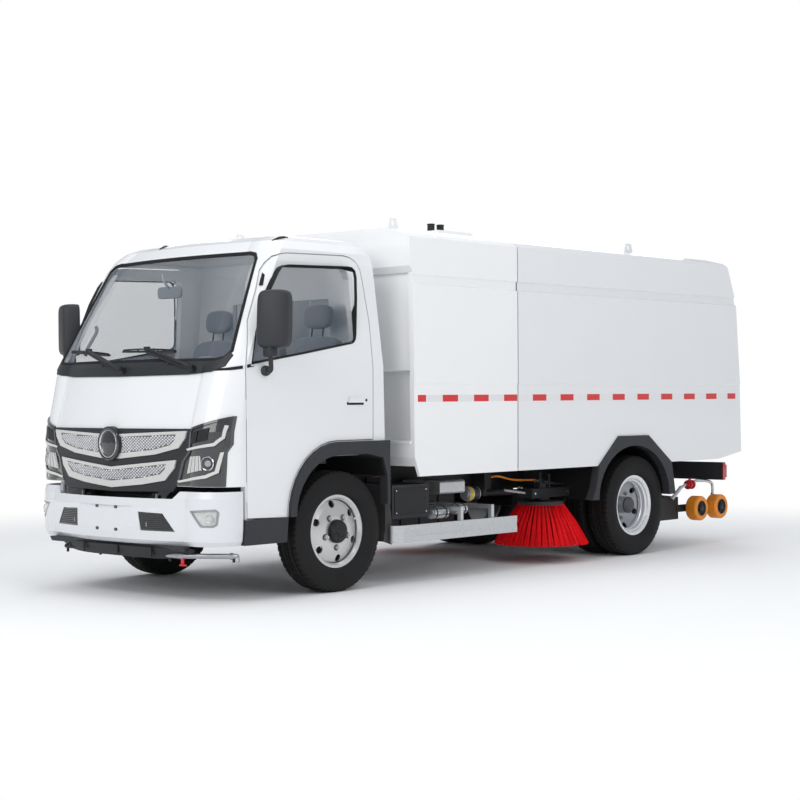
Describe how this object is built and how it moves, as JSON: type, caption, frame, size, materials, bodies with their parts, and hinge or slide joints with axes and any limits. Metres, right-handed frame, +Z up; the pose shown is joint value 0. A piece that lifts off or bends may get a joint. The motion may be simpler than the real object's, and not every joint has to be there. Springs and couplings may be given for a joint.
{
  "type": "street sweeper truck",
  "caption": "Forward-control light truck with a closed tipping sweeper body, side brushes, a raised rear suction nozzle and twin rear wheels.",
  "frame": {"origin": "on the ground below the middle of the vehicle's length and width", "axes": "+Z up, -Y towards the front of the truck, +X to the vehicle's left"},
  "size_m": [2.384, 6.1142, 2.59],
  "materials": {
    "cab_paint": "white gloss",
    "body_paint": "white gloss",
    "chassis_black": "satin black",
    "black_plastic": "grained",
    "dark_plastic": "satin",
    "grey_trim": "grained",
    "seat_cloth": "woven",
    "glass": "tinted",
    "lamp": "clear cover",
    "red_lens": "lens",
    "tyre": "black",
    "silver_paint": "silver",
    "cast_grey": "cast",
    "steel": "galvanised",
    "hard_chrome": "polished",
    "brush_red": "bristle",
    "orange_rubber": "polyurethane",
    "rubber": "sheet"
  },
  "bodies": {
    "chassis": {"frame": "chassis_black", "front_axle": "chassis_black", "rear_axle": "chassis_black", "engine": "cast_grey", "sweeper_engine": "cast_grey", "bumper": "cab_paint", "valance": "black_plastic", "spray_bar": "black_plastic", "side_box": "black_plastic", "air_tank": "steel", "side_guards": "steel", "mud_flaps": "rubber", "tail_board": "black_plastic", "rear_lamps": "red_lens", "body_front": "body_paint"},
    "cab": {"cab_shell": "cab_paint", "cab_floor": "grey_trim", "dashboard": "dark_plastic", "seats": "seat_cloth", "cab_glass": "glass", "grille": "dark_plastic", "grille_bars": "silver_paint", "headlamps": "lamp", "cowl": "dark_plastic", "cab_arches": "black_plastic"},
    "steering_wheel": {"steering_wheel": "black_plastic"},
    "hopper": {"hopper_shell": "body_paint", "hopper_floor": "body_paint", "rear_arches": "black_plastic"},
    "rear_door": {"rear_door": "body_paint"},
    "tip_barrel": {"tip_barrel": "chassis_black"},
    "tip_rod": {"tip_rod": "hard_chrome"},
    "nozzle_arm": {"nozzle_arm": "chassis_black"},
    "nozzle": {"nozzle": "chassis_black"},
    "door_left": {"door_left": "cab_paint", "door_glass_left": "glass", "mirror_left": "black_plastic"},
    "knuckle_left": {"knuckle_left": "cast_grey"},
    "front_wheel_left": {"front_tyre_left": "tyre", "front_rim_left": "silver_paint"},
    "rear_wheels_left": {"rear_tyres_left": "tyre", "rear_rims_left": "silver_paint"},
    "brush_arm_left": {"brush_arm_left": "chassis_black"},
    "brush_left": {"brush_disc_left": "black_plastic", "bristles_left": "brush_red"},
    "nozzle_wheel_front_left": {"nozzle_wheel_front_left": "orange_rubber"},
    "nozzle_wheel_rear_left": {"nozzle_wheel_rear_left": "orange_rubber"},
    "door_right": {"door_right": "cab_paint", "door_glass_right": "glass", "mirror_right": "black_plastic"},
    "knuckle_right": {"knuckle_right": "cast_grey"},
    "front_wheel_right": {"front_tyre_right": "tyre", "front_rim_right": "silver_paint"},
    "rear_wheels_right": {"rear_tyres_right": "tyre", "rear_rims_right": "silver_paint"},
    "brush_arm_right": {"brush_arm_right": "chassis_black"},
    "brush_right": {"brush_disc_right": "black_plastic", "bristles_right": "brush_red"},
    "nozzle_wheel_front_right": {"nozzle_wheel_front_right": "orange_rubber"},
    "nozzle_wheel_rear_right": {"nozzle_wheel_rear_right": "orange_rubber"}
  },
  "joints": [
    {"name": "cab_tilt", "type": "hinge", "parent": "chassis", "child": "cab", "pos_m": [0, -2.9195, 0.66], "axis": [1, 0, 0], "range_deg": [0, 45]},
    {"name": "door_left_open", "type": "hinge", "parent": "cab", "child": "door_left", "pos_m": [0.966, -2.6865, 1], "axis": [0, 0, -1], "range_deg": [0, 70]},
    {"name": "steer_left", "type": "hinge", "parent": "chassis", "child": "knuckle_left", "pos_m": [0.73, -1.8675, 0.4025], "axis": [0, 0, 1], "range_deg": [-32, 32]},
    {"name": "front_wheel_left_roll", "type": "hinge", "parent": "knuckle_left", "child": "front_wheel_left", "pos_m": [0.869, -1.8675, 0.4025], "axis": [1, 0, 0], "continuous": true},
    {"name": "rear_wheels_left_roll", "type": "hinge", "parent": "chassis", "child": "rear_wheels_left", "pos_m": [0.912, 1.4925, 0.4025], "axis": [1, 0, 0], "continuous": true},
    {"name": "brush_left_swing", "type": "hinge", "parent": "chassis", "child": "brush_arm_left", "pos_m": [0.47, 0.2125, 0.56], "axis": [0, 0, -1], "range_deg": [0, 40]},
    {"name": "brush_left_spin", "type": "hinge", "parent": "brush_arm_left", "child": "brush_left", "pos_m": [0.7, 0.6425, 0.4], "axis": [0, 0, 1], "continuous": true},
    {"name": "nozzle_wheel_front_left_roll", "type": "hinge", "parent": "nozzle", "child": "nozzle_wheel_front_left", "pos_m": [0.895, 2.5715, 0.318], "axis": [1, 0, 0], "continuous": true},
    {"name": "nozzle_wheel_rear_left_roll", "type": "hinge", "parent": "nozzle", "child": "nozzle_wheel_rear_left", "pos_m": [0.895, 2.8885, 0.318], "axis": [1, 0, 0], "continuous": true},
    {"name": "door_right_open", "type": "hinge", "parent": "cab", "child": "door_right", "pos_m": [-0.966, -2.6865, 1], "axis": [0, 0, 1], "range_deg": [0, 70]},
    {"name": "steer_right", "type": "hinge", "parent": "chassis", "child": "knuckle_right", "pos_m": [-0.73, -1.8675, 0.4025], "axis": [0, 0, 1], "range_deg": [-32, 32]},
    {"name": "front_wheel_right_roll", "type": "hinge", "parent": "knuckle_right", "child": "front_wheel_right", "pos_m": [-0.869, -1.8675, 0.4025], "axis": [1, 0, 0], "continuous": true},
    {"name": "rear_wheels_right_roll", "type": "hinge", "parent": "chassis", "child": "rear_wheels_right", "pos_m": [-0.912, 1.4925, 0.4025], "axis": [1, 0, 0], "continuous": true},
    {"name": "brush_right_swing", "type": "hinge", "parent": "chassis", "child": "brush_arm_right", "pos_m": [-0.47, 0.2125, 0.56], "axis": [0, 0, 1], "range_deg": [0, 40]},
    {"name": "brush_right_spin", "type": "hinge", "parent": "brush_arm_right", "child": "brush_right", "pos_m": [-0.7, 0.6425, 0.4], "axis": [0, 0, 1], "continuous": true},
    {"name": "nozzle_wheel_front_right_roll", "type": "hinge", "parent": "nozzle", "child": "nozzle_wheel_front_right", "pos_m": [-0.895, 2.5715, 0.318], "axis": [1, 0, 0], "continuous": true},
    {"name": "nozzle_wheel_rear_right_roll", "type": "hinge", "parent": "nozzle", "child": "nozzle_wheel_rear_right", "pos_m": [-0.895, 2.8885, 0.318], "axis": [1, 0, 0], "continuous": true},
    {"name": "steering_wheel_turn", "type": "hinge", "parent": "cab", "child": "steering_wheel", "pos_m": [0.52, -2.3475, 1.4], "axis": [0, 0.5736, 0.8192], "range_deg": [-540, 540]},
    {"name": "hopper_tip", "type": "hinge", "parent": "chassis", "child": "hopper", "pos_m": [0, 2.8825, 0.775], "axis": [-1, 0, 0], "range_deg": [0, 45]},
    {"name": "rear_door_open", "type": "hinge", "parent": "hopper", "child": "rear_door", "pos_m": [0, 2.8675, 2.425], "axis": [1, 0, 0], "range_deg": [0, 80]},
    {"name": "tip_barrel_swing", "type": "hinge", "parent": "chassis", "child": "tip_barrel", "pos_m": [0, 0.6325, 0.64], "axis": [1, 0, 0], "range_deg": [0, 24.41]},
    {"name": "tip_rod_slide", "type": "slide", "parent": "tip_barrel", "child": "tip_rod", "axis": [0, 0.995, 0.0995], "range_m": [0, 0.52432]},
    {"name": "nozzle_lower", "type": "hinge", "parent": "chassis", "child": "nozzle_arm", "pos_m": [0, 1.8825, 0.53], "axis": [-1, 0, 0], "range_deg": [0, 26]},
    {"name": "nozzle_level", "type": "hinge", "parent": "nozzle_arm", "child": "nozzle", "pos_m": [0, 2.3325, 0.5], "axis": [1, 0, 0], "range_deg": [0, 26.1]}
  ],
  "couplings": [
    {"joint": "steer_right", "follows": "steer_left", "ratio": 1},
    {"joint": "tip_barrel_swing", "follows": "hopper_tip", "ratio": 0.54142},
    {"joint": "tip_rod_slide", "follows": "hopper_tip", "m_per_rad": 0.66695},
    {"joint": "nozzle_level", "follows": "nozzle_lower", "ratio": 1}
  ]
}
